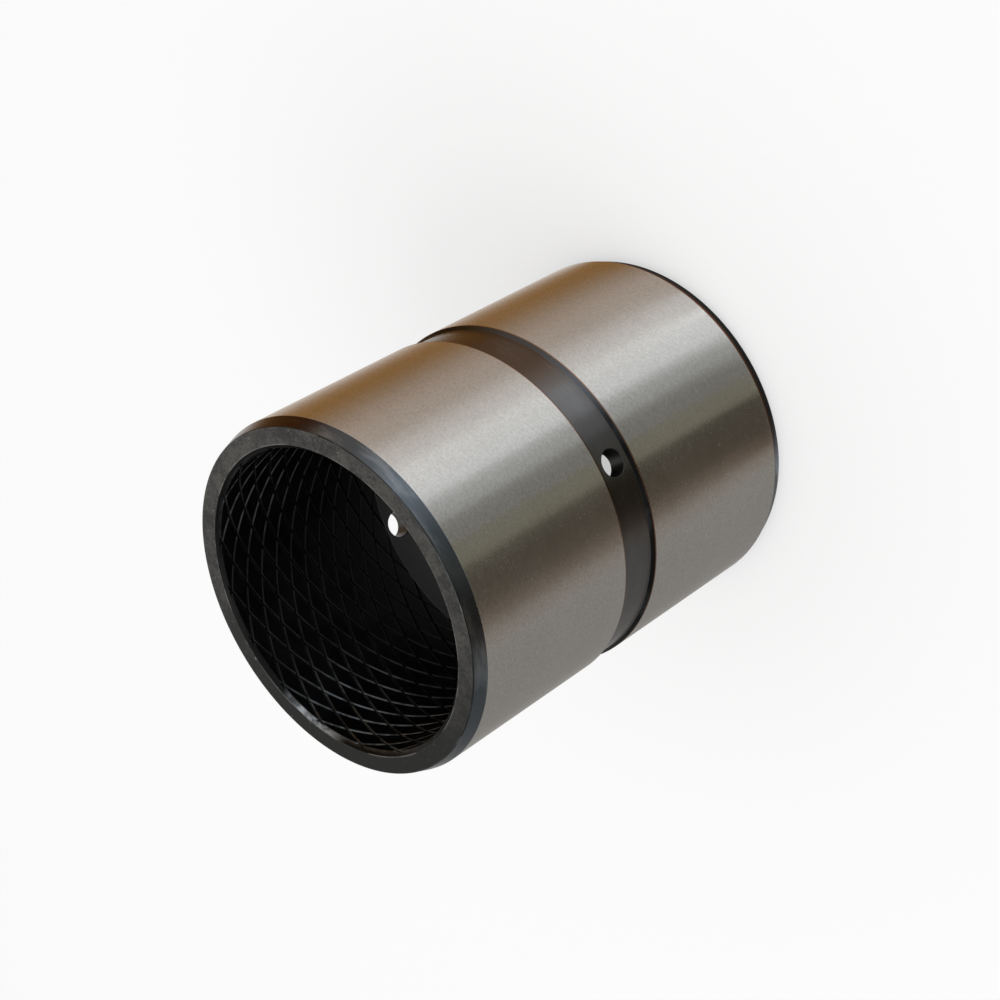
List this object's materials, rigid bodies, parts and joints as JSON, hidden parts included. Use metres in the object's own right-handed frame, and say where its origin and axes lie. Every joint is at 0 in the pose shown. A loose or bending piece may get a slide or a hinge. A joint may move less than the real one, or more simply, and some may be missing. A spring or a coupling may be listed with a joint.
{
  "type": "pin bushing",
  "caption": "Hardened steel sleeve bushing with an outer oil groove, radial oil holes and crossing grease grooves in the bore.",
  "frame": {"origin": "on the bore axis, in the plane of the lower end face", "axes": "+Z along the bore axis towards the upper mouth; the first oil hole opens towards -Y"},
  "size_m": [0.1, 0.1, 0.128],
  "materials": {
    "ground_steel": "ground bright outside, dark heat-treatment oxide in the groove, on the chamfers and in the bore"
  },
  "bodies": {
    "root": {"bushing": "ground_steel"}
  },
  "joints": []
}
